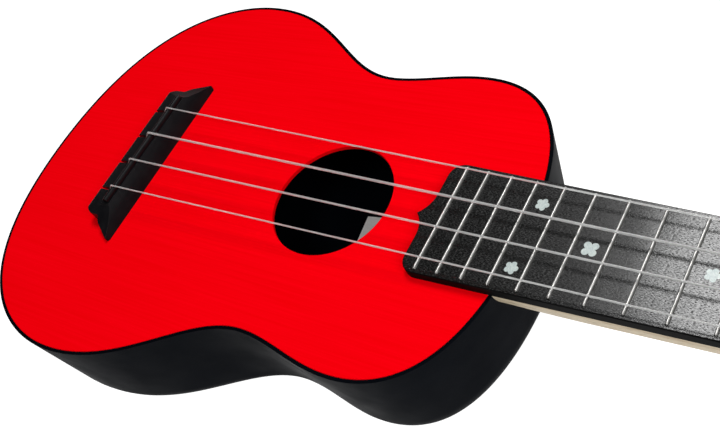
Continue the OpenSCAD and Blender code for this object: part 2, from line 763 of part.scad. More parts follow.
bowl_back();
mirror([1, 0, 0]) wall_length(0, tail_end);  // bowl_tail_g
wall_length(0, tail_end);  // bowl_tail_a
mirror([1, 0, 0]) wall_length(tail_end, lower_end);  // bowl_lower_g
wall_length(tail_end, lower_end);  // bowl_lower_a
mirror([1, 0, 0]) wall_length(lower_end, waist_end);  // bowl_waist_g
wall_length(lower_end, waist_end);  // bowl_waist_a
mirror([1, 0, 0]) wall_length(waist_end, upper_end);  // bowl_upper_g
wall_length(waist_end, upper_end);  // bowl_upper_a
bowl_neck_end();
soundboard();
brace_upper();
brace_lower();
bridge_plate();
neck_block();
label();
neck();
neck_screws();
fretboard();
frets();
inlays();
nut();
headstock_face();
bridge();
saddle();
string_g();
string_c();
string_e();
string_a();
bushings();
tuner_screws();
at_post(0) plate();  // plate_g
at_post(1) plate();  // plate_c
at_post(2) plate();  // plate_e
at_post(3) plate();  // plate_a
at_post(0) worm();  // worm_g
at_post(1) worm();  // worm_c
at_post(2) worm();  // worm_e
at_post(3) worm();  // worm_a
at_post(0) button();  // button_g
at_post(1) button();  // button_c
at_post(2) button();  // button_e
at_post(3) button();  // button_a
at_post(0) button_screw();  // button_screw_g
at_post(1) button_screw();  // button_screw_c
at_post(2) button_screw();  // button_screw_e
at_post(3) button_screw();  // button_screw_a
at_post(0) post();  // post_g
at_post(1) post();  // post_c
at_post(2) post();  // post_e
at_post(3) post();  // post_a
at_post(0) gear();  // gear_g
at_post(1) gear();  // gear_c
at_post(2) gear();  // gear_e
at_post(3) gear();  // gear_a
at_post(0) gear_screw();  // gear_screw_g
at_post(1) gear_screw();  // gear_screw_c
at_post(2) gear_screw();  // gear_screw_e
at_post(3) gear_screw();  // gear_screw_a
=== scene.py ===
"""Looks of a soprano ukulele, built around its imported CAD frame.

Lengths are in millimetres in the row frame: +X is the A-string side, +Y points to the
headstock, and the flat back lies on z = 0. MM turns them into Blender's metres.
"""

import json
import math

import bmesh
import bpy
from mathutils import Matrix, Vector

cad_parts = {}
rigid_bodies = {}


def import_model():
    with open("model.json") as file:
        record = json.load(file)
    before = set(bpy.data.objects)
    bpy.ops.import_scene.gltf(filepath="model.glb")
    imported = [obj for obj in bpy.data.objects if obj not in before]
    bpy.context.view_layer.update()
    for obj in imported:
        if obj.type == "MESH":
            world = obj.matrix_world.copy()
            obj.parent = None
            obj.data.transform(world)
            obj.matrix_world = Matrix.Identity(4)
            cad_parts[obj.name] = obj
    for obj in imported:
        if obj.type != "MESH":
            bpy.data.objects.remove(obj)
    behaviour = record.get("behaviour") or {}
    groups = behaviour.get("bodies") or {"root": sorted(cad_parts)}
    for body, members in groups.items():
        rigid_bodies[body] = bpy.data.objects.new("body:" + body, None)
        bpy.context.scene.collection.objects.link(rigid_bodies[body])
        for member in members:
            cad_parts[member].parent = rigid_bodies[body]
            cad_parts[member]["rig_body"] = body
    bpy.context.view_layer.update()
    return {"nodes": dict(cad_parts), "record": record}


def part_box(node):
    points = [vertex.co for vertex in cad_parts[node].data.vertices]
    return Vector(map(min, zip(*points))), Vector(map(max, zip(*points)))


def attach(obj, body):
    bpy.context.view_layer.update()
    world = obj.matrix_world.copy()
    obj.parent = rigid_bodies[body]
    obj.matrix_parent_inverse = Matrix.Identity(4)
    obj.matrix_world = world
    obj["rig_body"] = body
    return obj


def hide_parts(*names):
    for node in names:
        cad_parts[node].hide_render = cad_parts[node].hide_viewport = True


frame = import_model()
MM = 0.001


def low(node):
    """Lowest corner of a CAD node, in millimetres."""
    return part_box(node)[0] / MM


def high(node):
    """Highest corner of a CAD node, in millimetres."""
    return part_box(node)[1] / MM


# ---------------------------------------------------------------- sizes

SCALE_LEN = 350
TOP_Z = high("soundboard").z
UNDER_TOP_Z = low("soundboard").z
BOARD_Z = high("fretboard").z

TAIL_Y = low("soundboard").y
NECK_END_Y = high("soundboard").y
LOWER_X, LOWER_Y = high("soundboard").x, 4
WAIST_X, WAIST_Y = 59.5, 91
UPPER_X, UPPER_Y = 65, 132
# Half of the top's outline as cubic curves, from the tail round to the neck end
OUTLINE = (
    ((0, TAIL_Y), (73.5, TAIL_Y), (LOWER_X, LOWER_Y - 28), (LOWER_X, LOWER_Y)),
    ((LOWER_X, LOWER_Y), (LOWER_X, LOWER_Y + 42.5), (WAIST_X, WAIST_Y - 27.5), (WAIST_X, WAIST_Y)),
    ((WAIST_X, WAIST_Y), (WAIST_X, WAIST_Y + 13.5), (UPPER_X, UPPER_Y - 14.5), (UPPER_X, UPPER_Y)),
    ((UPPER_X, UPPER_Y), (UPPER_X, UPPER_Y + 15.5), (59.5, NECK_END_Y), (0, NECK_END_Y)),
)
OUTLINE_STEPS = (44, 36, 26, 44)

HOLE_Y, HOLE_R = 96.2, 25.2
# The label lies on the inside of the back
WALL = low("label").z
RIM_W, RIM_ROUND = 1.4, 0.35
# Gap between the top and the rim, and the ledge in the bowl that carries the top
FIT_GAP = 0.06
LEDGE_W, LEDGE_T, LEDGE_SLOPE = 6, 3.5, 7
# Lean of the bowl's wall in degrees and radius of its lower edge: tail, waist, neck end
DRAFT = (3.8, 7, 7)
EDGE_R = (24, 9, 17)
BOWL_NODES = ("bowl_back", "bowl_tail_g", "bowl_tail_a", "bowl_lower_g", "bowl_lower_a",
              "bowl_waist_g", "bowl_waist_a", "bowl_upper_g", "bowl_upper_a", "bowl_neck_end")

# Width of the fretboard at the nut, and what its taper would reach at the far end of the scale
NUT_W, TAPER_W = 34.6, 54.7
FRETS = 15
FRET_H, FRET_HALF_W, FRET_INSET, FRET_SINK = 0.8, 0.6, 1.42, 0.05
# Each end of a fret is hollowed about a small point: scale and exponent of the hollow's curve,
# the point's share of the fret's section, and where the outer face is at full size
HOLLOW_LEN, HOLLOW_CURVE, POINT_SHARE, FULL_FROM = 0.9, 0.6, 0.12, 1

HEEL_Y = low("neck").y
NECK_END = SCALE_LEN + 4
HEEL_RUN = 34
# Depth below the fretboard at the nut, above the heel and at the heel's foot
NECK_D_NUT, NECK_D_HEEL, HEEL_D = 12.5, 14.5, 35
# Exponents of the D section, where 1 is an ellipse: along the neck, added at the heel's foot,
# and inside the headstock
NECK_ROUND, HEEL_ROUND, HEAD_ROUND = 0.8, 0.65, 0.45
HEEL_SWEEP = 1.7
# The neck's last section is this far past the nut, and this much thinner than the headstock
NECK_IN_HEAD, NECK_SHY = 7, 0.2
HEAD_TILT = math.radians(12)
HEAD_T, HEAD_LEN = 11, 108
HEAD_HALF_W = high("headstock_face").x
BUSH_R, BUSH_GAP = 4.2, 0.04

STRINGS = "gcea"
STRING_R = {"g": 0.33, "c": 0.48, "e": 0.41, "a": 0.33}
GAP_SADDLE, GAP_NUT, STRING_SHIFT = 14.4, 10, 0.4
SADDLE_Y, SADDLE_H, SADDLE_R = -4, 10.2, 1.4
STRING_LIFT = 0.02
NUT_SLOT_H = 5.8
KNOT_Y, KNOT_Z, KNOT_R = -12.6, 3, 1.35
# In string radii for each turn
KNOT_PITCH = 2.05

# Each post's side, and its distance along the headstock from the nut
POST_X = 14.5
POSTS = {"g": (-1, 34), "c": (-1, 74), "e": (1, 74), "a": (1, 34)}
POST_WAIST_R = 2.5
# The winding starts WIND_W above the headstock's face, with a gap to the post and between turns
WIND_W, WIND_TURNS, WIND_STEPS = 4, 3, 48
POST_GAP, TURN_GAP = 0.07, 0.04

# Module and teeth of a gear, pitch radius of its worm, and the distance between their axes
GEAR_M, GEAR_TEETH, WORM_R = 0.6, 14, 2.2
CENTRE_D = GEAR_M * GEAR_TEETH / 2 + WORM_R
PLATE_T, GEAR_DROP = 0.9, 3
GEAR_W = -HEAD_T - PLATE_T - GEAR_DROP
WORM_HALF, THREAD_OUT, THREAD_IN = 4.8, 0.55, 0.62
# Shares of half a pitch that the worm's crest and its flank take
THREAD_CREST, THREAD_FLANK = 0.22, 0.28
SHAFT_R, SHAFT_IN, SHAFT_OUT = 1.5, -7, 19.9
IN_CHAMFER, OUT_CHAMFER, THREAD_STEP = 0.25, 0.2, 0.02

# Edges are creased above SHARP_ANGLE degrees; CAD points closer than WELD are one point, and
# CAD faces within FLAT_ANGLE degrees are one face
SHARP_ANGLE = 35
WELD = 0.002
FLAT_ANGLE = 0.5

# In metres: just clear of the flat back, and wide enough to reach the horizon in low views
FLOOR_PLACE = (0, 0.15, -0.0004)
FLOOR_SIZE = 60


# ---------------------------------------------------------------- materials


def grey(value):
    return (value, value, value)


class Finish:
    """A Principled material that is built up from noise in the object's own coordinates."""

    def __init__(self, name, base, roughness, metallic=0.0, specular=0.5):
        self.material = bpy.data.materials.new(name)
        self.material.use_nodes = True
        self.nodes = self.material.node_tree.nodes
        self.links = self.material.node_tree.links
        self.bsdf = self.nodes["Principled BSDF"]
        self.place = self.nodes.new("ShaderNodeTexCoord").outputs["Object"]
        self.put("Base Color", (*base, 1))
        self.put("Roughness", roughness)
        self.put("Metallic", metallic)
        self.put("Specular IOR Level", specular)

    def put(self, socket, value):
        """Sets one of the shader's own sockets, or links an output to it."""
        if isinstance(value, bpy.types.NodeSocket):
            self.links.new(value, self.bsdf.inputs[socket])
        else:
            self.bsdf.inputs[socket].default_value = value

    def noise(self, size, detail=3, distortion=0.0):
        """Noise whose features are about size millimetres, or (x, y, z) millimetres."""
        sizes = size if isinstance(size, tuple) else (size,) * 3
        mapping = self.nodes.new("ShaderNodeMapping")
        mapping.inputs["Scale"].default_value = [1 / (s * MM) for s in sizes]
        self.links.new(self.place, mapping.inputs["Vector"])
        noise = self.nodes.new("ShaderNodeTexNoise")
        noise.inputs["Scale"].default_value = 1
        noise.inputs["Detail"].default_value = detail
        noise.inputs["Distortion"].default_value = distortion
        self.links.new(mapping.outputs["Vector"], noise.inputs["Vector"])
        return noise.outputs["Fac"]

    def between(self, fac, span, first, last):
        """Goes from first to last as fac crosses span; both are numbers or colours."""
        ramp = self.nodes.new("ShaderNodeMapRange")
        ramp.inputs["From Min"].default_value = span[0]
        ramp.inputs["From Max"].default_value = span[1]
        self.links.new(fac, ramp.inputs["Value"])
        if not isinstance(first, tuple):
            ramp.inputs["To Min"].default_value = first
            ramp.inputs["To Max"].default_value = last
            return ramp.outputs["Result"]
        mix, colours, result = self.colour_mix()
        self.links.new(ramp.outputs["Result"], mix.inputs["Factor"])
        colours[0].default_value = (*first, 1)
        colours[1].default_value = (*last, 1)
        return result

    def times(self, one, other):
        """One colour output multiplied by another."""
        mix, colours, result = self.colour_mix()
        mix.blend_type = "MULTIPLY"
        mix.inputs["Factor"].default_value = 1
        self.links.new(one, colours[0])
        self.links.new(other, colours[1])
        return result

    def colour_mix(self):
        """A colour mix node, its two colour inputs and its colour output."""
        mix = self.nodes.new("ShaderNodeMix")
        mix.data_type = "RGBA"
        colours = [s for s in mix.inputs if s.type == "RGBA"]
        return mix, colours, next(s for s in mix.outputs if s.type == "RGBA")

    def bump(self, height, depth):
        """Relief of up to depth millimetres that follows an output."""
        bump = self.nodes.new("ShaderNodeBump")
        bump.inputs["Distance"].default_value = depth * MM
        self.links.new(height, bump.inputs["Height"])
        self.put("Normal", bump.outputs["Normal"])

    def colour(self, size, first, last, span=(0.3, 0.7), detail=3, distortion=0.0):
        """Base colour that drifts from first to last over noise of that size."""
        fac = self.noise(size, detail, distortion)
        self.put("Base Color", self.between(fac, span, first, last))

    def roughness(self, size, first, last, span=(0.3, 0.7), detail=3):
        """Roughness that drifts from first to last over noise of that size."""
        self.put("Roughness", self.between(self.noise(size, detail), span, first, last))

    def relief(self, size, depth, detail=2):
        """Relief of up to depth millimetres from noise of that size."""
        self.bump(self.noise(size, detail), depth)


def shell_plastic():
    f = Finish("shell_plastic", (0.003, 0.004, 0.005), 0.4, specular=0.006)
    f.colour(40, (0.0012, 0.0018, 0.003), (0.0024, 0.0032, 0.005))
    f.roughness(14, 0.4, 0.5, span=(0.35, 0.65))
    f.relief(0.7, 0.02)
    return f


def red_top():
    f = Finish("red_top", (0.9, 0.0, 0.001), 0.55, specular=0.0)
    fibres = f.noise((0.9, 60, 8), detail=4, distortion=0.3)
    grain = f.between(fibres, (0.35, 0.7), (0.88, 0.0, 0.003), (0.95, 0.0, 0.005))
    clouds = f.between(f.noise((30, 90, 30), detail=2), (0.3, 0.7), grey(0.97), grey(1))
    f.put("Base Color", f.times(grain, clouds))
    f.roughness((1.2, 40, 8), 0.46, 0.56)
    f.relief((0.5, 30, 4), 0.012, detail=3)
    return f


def spruce():
    f = Finish("spruce", (0.62, 0.47, 0.29), 0.7, specular=0.3)
    f.colour((60, 1.6, 1.6), (0.66, 0.5, 0.31), (0.45, 0.3, 0.16), detail=4, distortion=0.4)
    f.relief((30, 0.4, 0.4), 0.03, detail=3)
    return f


def neck_wood():
    f = Finish("neck_wood", (0.6, 0.5, 0.36), 0.5, specular=0.35)
    fibres = f.noise((1.4, 70, 1.4), detail=4, distortion=0.6)
    grain = f.between(fibres, (0.3, 0.72), (0.62, 0.53, 0.38), (0.46, 0.36, 0.23))
    pits = f.noise((0.3, 4, 0.3), detail=2)
    f.put("Base Color", f.times(grain, f.between(pits, (0.36, 0.44), (0.7, 0.64, 0.56), grey(1))))
    f.roughness((3, 50, 3), 0.42, 0.55)
    f.bump(pits, 0.015)
    return f


def board_black():
    """The fretboard's face, whose open pores are dull between polished wood."""
    f = Finish("board_black", grey(0.006), 0.32, specular=0.5)
    pores = f.noise((0.2, 0.9, 0.2))
    f.put("Base Color", f.between(pores, (0.5, 0.7), grey(0.0008), (0.006, 0.006, 0.0055)))
    f.put("Roughness", f.between(pores, (0.4, 0.5), 0.5, 0.17))
    f.bump(pores, 0.02)
    return f


def board_side():
    """The fretboard's edge, which is stained and sealed, so its pores don't show."""
    f = Finish("board_side", grey(0.003), 0.5, specular=0.02)
    f.colour((0.5, 12, 0.5), grey(0.002), grey(0.006))
    f.relief((0.3, 6, 0.3), 0.01)
    return f


def fret_metal():
    f = Finish("fret_metal", (0.62, 0.61, 0.59), 0.25, metallic=1.0)
    f.roughness((6, 0.3, 0.6), 0.4, 0.5, detail=2)
    f.relief((6, 0.3, 0.6), 0.001)
    return f


def pearl():
    f = Finish("pearl", (0.8, 0.84, 0.82), 0.36, specular=0.35)
    f.colour((1.6, 1.1, 1.1), (0.38, 0.45, 0.45), (0.54, 0.60, 0.57),
             span=(0.35, 0.65), distortion=2)
    f.put("Coat Weight", 0.12)
    f.relief(0.8, 0.004)
    return f


def black_plastic():
    f = Finish("black_plastic", (0.004, 0.004, 0.005), 0.4, specular=0.12)
    f.colour((9, 3, 3), (0.003, 0.003, 0.004), (0.006, 0.006, 0.007))
    f.roughness(6, 0.34, 0.46)
    f.relief(0.5, 0.012)
    return f


def nylon():
    f = Finish("nylon", (0.86, 0.86, 0.85), 0.3)
    f.colour((2, 12, 2), (0.82, 0.82, 0.81), (0.9, 0.9, 0.89))
    f.put("Transmission Weight", 0.65)
    f.relief((1.5, 6, 1.5), 0.004)
    return f


def tuner_metal():
    f = Finish("tuner_metal", (0.78, 0.77, 0.75), 0.2, metallic=1.0)
    f.colour(5, (0.74, 0.73, 0.71), (0.83, 0.82, 0.80))
    f.roughness(1.2, 0.13, 0.3, span=(0.35, 0.7), detail=4)
    f.relief(0.6, 0.003)
    return f


def gear_brass():
    f = Finish("gear_brass", (0.78, 0.56, 0.22), 0.3, metallic=1.0)
    f.colour(2, (0.80, 0.59, 0.26), (0.62, 0.42, 0.15), span=(0.35, 0.7), detail=4)
    f.roughness(0.6, 0.24, 0.42)
    f.relief(0.25, 0.004)
    return f


def button_plastic():
    f = Finish("button_plastic", (0.010, 0.010, 0.011), 0.18, specular=0.5)
    f.roughness(4, 0.13, 0.26)
    f.put("Coat Weight", 0.2)
    f.relief(1.6, 0.006)
    return f


def screw_steel():
    f = Finish("screw_steel", (0.62, 0.62, 0.63), 0.35, metallic=1.0)
    f.colour(1, grey(0.66), (0.5, 0.5, 0.51), span=(0.35, 0.7), detail=4)
    f.roughness(0.4, 0.26, 0.46)
    f.relief(0.2, 0.004)
    return f


def paper():
    f = Finish("paper", (0.88, 0.88, 0.86), 0.8, specular=0.2)
    f.colour((0.8, 2.4, 1), (0.84, 0.84, 0.82), (0.92, 0.92, 0.90), detail=4)
    f.relief((0.3, 0.8, 0.3), 0.01, detail=3)
    return f


MAKERS = (shell_plastic, red_top, spruce, neck_wood, board_black, fret_metal, pearl, black_plastic,
          nylon, tuner_metal, gear_brass, button_plastic, screw_steel, paper, board_side)
FINISHES = {make.__name__: make().material for make in MAKERS}


def finish_cad_nodes():
    """Gives each CAD node the material of its slot in the record."""
    for part in frame["record"]["subparts"]:
        for slot in frame["nodes"][part["node"]].material_slots:
            slot.material = FINISHES[part["material_slot"]]


# ---------------------------------------------------------------- mesh helpers


def quarter_turn(steps=4):
    """Angles from 0 to a right angle."""
    return [math.pi / 2 * i / steps for i in range(steps + 1)]


def round_over(radius, top, steps=4):
    """(inset, height) up an edge that is rounded as far as top."""
    return [(radius * (1 - math.cos(a)), top - radius * (1 - math.sin(a)))
            for a in quarter_turn(steps)]


def cubic(p, t):
    """Point of a cubic curve with control points p."""
    a, b, c, d = (Vector(q) for q in p)
    return (1 - t) ** 3 * a + 3 * (1 - t) ** 2 * t * b + 3 * (1 - t) * t * t * c + t ** 3 * d


def cubic_normal(p, t):
    """Unit normal on the right-hand side of a plane cubic curve."""
    a, b, c, d = (Vector(q) for q in p)
    along = ((1 - t) ** 2 * (b - a) + 2 * (1 - t) * t * (c - b) + t * t * (d - c)).normalized()
    return Vector((along.y, -along.x))


def loft(rings, joined=False):
    """Points and faces of a skin over rings of equal length, capped or joined end to end."""
    n = len(rings[0])
    total = len(rings) * n
    faces = []
    for k in range(0, total if joined else total - n, n):
        after = (k + n) % total
        faces += [(k + i, k + (i + 1) % n, after + (i + 1) % n, after + i) for i in range(n)]
    if not joined:
        faces += [tuple(range(n))[::-1], tuple(range(total - n, total))]
    return [p for ring in rings for p in ring], faces


def tube(path, radius, sides=16):
    """A round tube along a path."""
    points = [Vector(p) for p in path]
    rings = []
    side = Vector((1, 0, 0))
    for k, point in enumerate(points):
        along = (points[min(k + 1, len(points) - 1)] - points[max(k - 1, 0)]).normalized()
        side = (side - along * side.dot(along)).normalized()
        up = along.cross(side)
        rings.append([point + radius * (math.cos(a) * side + math.sin(a) * up)
                      for a in (math.tau * j / sides for j in range(sides))])
    return loft(rings)


def merged(shapes):
    """Several (points, faces) pairs as one."""
    points, faces = [], []
    for more_points, more_faces in shapes:
        faces += [tuple(i + len(points) for i in face) for face in more_faces]
        points += more_points
    return points, faces


def mesh_of(name, shape):
    """A mesh of (points, faces) in millimetres, and its bmesh with the faces turned outwards."""
    mesh = bpy.data.meshes.new(name)
    points, faces = shape
    mesh.from_pydata([Vector(p) * MM for p in points], [], faces)
    bm = bmesh.new()
    bm.from_mesh(mesh)
    bmesh.ops.recalc_face_normals(bm, faces=bm.faces)
    return mesh, bm


def shade(mesh, sharp=SHARP_ANGLE):
    """Smooth shading with an edge where faces turn by more than sharp degrees."""
    mesh.shade_smooth()
    mesh.set_sharp_from_angle(angle=math.radians(sharp))


def finished(name, mesh, bm, slot, body, stands_for, sharp=SHARP_ANGLE):
    """Writes bm to the mesh, and makes the object that shows it."""
    bm.to_mesh(mesh)
    bm.free()
    shade(mesh, sharp)
    mesh.materials.clear()
    mesh.materials.append(FINISHES[slot])
    obj = bpy.data.objects.new(name, mesh)
    bpy.context.scene.collection.objects.link(obj)
    normals = obj.modifiers.new("normals", "WEIGHTED_NORMAL")
    normals.keep_sharp = True
    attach(obj, body)
    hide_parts(*stands_for)
    return obj


def piece(name, shape, slot, stands_for, body="instrument", sharp=SHARP_ANGLE):
    """A new mesh piece that rides on a body and takes the place of CAD nodes."""
    return finished(name, *mesh_of(name, shape), slot, body, stands_for, sharp)


def refined(node, bevel, pick=None, segments=2, edge_angle=30):
    """A copy of a CAD node whose sharp edges are rounded, and which takes the node's place."""
    source = frame["nodes"][node]
    mesh = source.data.copy()
    bm = bmesh.new()
    bm.from_mesh(mesh)
    bmesh.ops.remove_doubles(bm, verts=bm.verts, dist=WELD * MM)
    bmesh.ops.dissolve_limit(bm, angle_limit=math.radians(FLAT_ANGLE),
                             verts=bm.verts, edges=bm.edges)
    limit = math.radians(edge_angle)
    edges = [e for e in bm.edges if len(e.link_faces) == 2 and e.calc_face_angle(0) > limit]
    edges = [e for e in edges if pick is None or pick(e)]
    bmesh.ops.bevel(bm, geom=edges, offset=bevel * MM, offset_type="OFFSET", segments=segments,
                    profile=0.5, affect="EDGES", clamp_overlap=True)
    slot = next(p["material_slot"] for p in frame["record"]["subparts"] if p["node"] == node)
    return finished(node + "_fine", mesh, bm, slot, source["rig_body"], [node])


def cut(obj, shape, operation="DIFFERENCE"):
    """Cuts a closed shape from obj, or joins it on, and keeps the result."""
    mesh, bm = mesh_of("cutter", shape)
    bm.to_mesh(mesh)
    bm.free()
    cutter = bpy.data.objects.new("cutter", mesh)
    bpy.context.scene.collection.objects.link(cutter)
    boolean = obj.modifiers.new("cut", "BOOLEAN")
    boolean.operation = operation
    boolean.solver = "EXACT"
    boolean.object = cutter
    bpy.context.view_layer.update()
    evaluated = obj.evaluated_get(bpy.context.evaluated_depsgraph_get())
    result = bpy.data.meshes.new_from_object(evaluated)
    obj.modifiers.remove(boolean)
    obj.data = result
    bpy.data.objects.remove(cutter)


# ---------------------------------------------------------------- body


def body_outline():
    """(point, outward direction) all round the top, anticlockwise from the tail."""
    half = [(cubic(span, i / steps), cubic_normal(span, i / steps))
            for span, steps in zip(OUTLINE, OUTLINE_STEPS) for i in range(steps)]
    half.append((Vector((0, NECK_END_Y)), Vector((0, 1))))
    mirror = [(Vector((-p.x, p.y)), Vector((-n.x, n.y))) for p, n in half[-2:0:-1]]
    return half + mirror


def ease(t):
    """Smooth step from 0 to 1."""
    return t * t * (3 - 2 * t)


def blend3(y, values):
    """Goes smoothly from the tail's value to the waist's and on to the neck end's."""
    tail, waist, neck = values
    if y < WAIST_Y:
        return tail + (waist - tail) * ease((y - TAIL_Y) / (WAIST_Y - TAIL_Y))
    return waist + (neck - waist) * ease((y - WAIST_Y) / (NECK_END_Y - WAIST_Y))


def rim_corner(x, z, dx, rising):
    """Rounded top edge at (x, z) of a rim that lies towards dx, from below or from above."""
    r = RIM_ROUND
    turn = quarter_turn() if rising else quarter_turn()[::-1]
    return [(x + dx * r * (1 - math.cos(a)), z - r + r * math.sin(a)) for a in turn]


def shell_section(y, arc_steps=14):
    """The bowl's wall at y as (distance in from the top's outline, height), inside floor first."""
    draft, edge = math.radians(blend3(y, DRAFT)), blend3(y, EDGE_R)
    radius = edge / (1 - math.sin(draft))
    foot = math.tan(draft) * (TOP_Z - edge) - RIM_W

    def arc(thick, step):
        """Place on the lower edge's arc, thick in from its outer face."""
        a = draft + (math.pi / 2 - draft) * step
        return (foot + radius * math.cos(draft) - (radius - thick) * math.cos(a),
                edge + radius * math.sin(draft) - (radius - thick) * math.sin(a))

    under_ledge = UNDER_TOP_Z - LEDGE_T
    slope_z = under_ledge - LEDGE_SLOPE
    inner = [arc(WALL, k / arc_steps) for k in range(arc_steps, -1, -1)]
    ledge = [(math.tan(draft) * (TOP_Z - slope_z) - RIM_W + WALL, slope_z),
             (LEDGE_W, under_ledge), (LEDGE_W, UNDER_TOP_Z), (-FIT_GAP, UNDER_TOP_Z)]
    rim = rim_corner(-FIT_GAP, TOP_Z, -1, True) + rim_corner(-RIM_W, TOP_Z, 1, False)
    return inner + ledge + rim + [arc(0, k / arc_steps) for k in range(arc_steps + 1)]


def make_shell():
    """The bowl as one skin, inside and outside."""
    outline = body_outline()
    sections = [shell_section(p.y) for p, _ in outline]
    rings = [[(*(p - s[k][0] * n), s[k][1]) for (p, n), s in zip(outline, sections)]
             for k in range(len(sections[0]))]
    piece("bowl", loft(rings), "shell_plastic", BOWL_NODES)


def make_top(edge_round=0.3):
    """The top as one skin: under side, rounded outer edge, upper side and rounded hole edge."""
    outline = body_outline()
    hole_centre = Vector((0, HOLE_Y))

    def outer(inset, z):
        return [(*(p - inset * n), z) for p, n in outline]

    def hole(r, z):
        return [(*(hole_centre + r * (p - hole_centre).normalized()), z) for p, _ in outline]

    rounded = round_over(edge_round, TOP_Z)
    rings = [hole(HOLE_R, UNDER_TOP_Z), outer(0, UNDER_TOP_Z)]
    rings += [outer(inset, z) for inset, z in rounded]
    rings += [hole(HOLE_R + inset, z) for inset, z in rounded[::-1]]
    piece("red_soundboard", loft(rings, joined=True), "red_top", ["soundboard"])


# ---------------------------------------------------------------- neck and headstock


def board_half(y):
    """Half the width of the fretboard at y."""
    return (TAPER_W + (NUT_W - TAPER_W) * y / SCALE_LEN) / 2


def head_world(x, u, w):
    """A headstock place, u along it from the nut and w out of its face, in the row frame."""
    return (x, NECK_END + u * math.cos(HEAD_TILT) + w * math.sin(HEAD_TILT),
            TOP_Z - u * math.sin(HEAD_TILT) + w * math.cos(HEAD_TILT))


def power(value, exponent):
    """A power that keeps the sign of value."""
    return math.copysign(abs(value) ** exponent, value)


def d_ring(half_w, depth, squareness, place, steps=36):
    """A rounded D below a flat top; place turns (x, z) into a point in the row frame."""
    angles = [math.pi * i / steps for i in range(steps + 1)]
    return [place(half_w * power(math.cos(a), squareness), -depth * power(math.sin(a), squareness))
            for a in angles]


def neck_ring(y):
    """The neck's section at y, which leans and deepens along the heel."""
    t = max(0, 1 - (y - HEEL_Y) / HEEL_RUN)
    straight = (SCALE_LEN - y) / (SCALE_LEN - HEEL_Y - HEEL_RUN)
    depth = NECK_D_NUT + (NECK_D_HEEL - NECK_D_NUT) * straight
    if t > 0:
        swept = 1 - (1 - t ** HEEL_SWEEP) ** (1 / HEEL_SWEEP)
        depth = NECK_D_HEEL + (HEEL_D - NECK_D_HEEL) * swept
    lean = math.tan(math.radians(DRAFT[2])) * t
    squareness = NECK_ROUND + HEEL_ROUND * t ** HEEL_SWEEP
    return d_ring(board_half(y), depth, squareness, lambda x, z: (x, y + lean * z, TOP_Z + z))


def head_outline(steps=14):
    """(point, outward direction) along the headstock's edge, from the nut round to the nut."""
    w, n = HEAD_HALF_W, HEAD_LEN
    spans = (
        ((NUT_W / 2, 0), (NUT_W / 2 + 0.6, 7), (w - 2.4, 9), (w - 1.6, 20)),
        ((w - 1.6, 20), (w - 1.0, 43.7), (w - 0.5, 67.3), (w, n - 17)),
        ((w, n - 17), (w, n - 9), (15, n - 8), (9, n - 4.5)),
        ((9, n - 4.5), (6, n - 2.5), (3, n), (0, n)),
    )
    half = [(cubic(s, i / steps), cubic_normal(s, i / steps)) for s in spans for i in range(steps)]
    half.append((Vector((0, n)), Vector((0, 1))))
    return half + [(Vector((-p.x, p.y)), Vector((-d.x, d.y))) for p, d in half[-2::-1]]


def head_plate(low_w, high_w, low_round, high_round, steps=5):
    """The headstock between two levels, with rounded lower and upper edges."""
    levels = [(low_round * (1 - math.sin(a)), low_w + low_round * (1 - math.cos(a)))
              for a in quarter_turn(steps)]
    levels += round_over(high_round, high_w, steps)
    outline = head_outline()
    return loft([[head_world(*(p - inset * n), w) for p, n in outline] for inset, w in levels])


def head_bar(x, u, low_w, high_w, r, steps=48):
    """A round bar that stands across the headstock."""
    turn = [math.tau * i / steps for i in range(steps)]
    return loft([[head_world(x + r * math.cos(a), u + r * math.sin(a), w) for a in turn]
                 for w in (low_w, high_w)])


def make_neck(heel_steps=26, straight_steps=10, bore_past=2):
    """Heel, neck and headstock as one wooden piece, with bores for the bushings."""
    heel_end = HEEL_Y + HEEL_RUN
    turns = [math.pi / 2 * k / heel_steps for k in range(heel_steps)]
    heel = [HEEL_Y + HEEL_RUN * (1 - math.cos(a)) for a in turns]
    straight = [heel_end + k * (NECK_END - heel_end) / straight_steps
                for k in range(straight_steps + 1)]
    rings = [neck_ring(y) for y in heel + straight]
    rings.append(d_ring(NUT_W / 2, HEAD_T - NECK_SHY, HEAD_ROUND,
                        lambda x, z: head_world(x, NECK_IN_HEAD, z)))
    neck = piece("neck_and_head", loft(rings), "neck_wood", ["neck"])
    cut(neck, head_plate(-HEAD_T, 0, low_round=1.2, high_round=0.05), "UNION")
    for side, u in POSTS.values():
        cut(neck, head_bar(side * POST_X, u, -HEAD_T - bore_past, bore_past, BUSH_R + BUSH_GAP))
    shade(neck.data)


def make_fretboard(near=0.01):
    """The fretboard with soft outer edges, and its sides in a finish of their own."""
    def outer_edge(edge):
        """Whether an edge lies between the playing face and a side face of full height."""
        walls = [f for f in edge.link_faces if abs(f.normal.z) < 0.5]
        if len(walls) != 1 or min(v.co.z for v in edge.verts) < (BOARD_Z - near) * MM:
            return False
        return min(v.co.z for v in walls[0].verts) < (TOP_Z + near) * MM

    board = refined("fretboard", bevel=0.45, pick=outer_edge, segments=3)
    board.data.materials.append(FINISHES["board_side"])
    for face in board.data.polygons:
        if face.normal.z < 0.9:
            face.material_index = 1


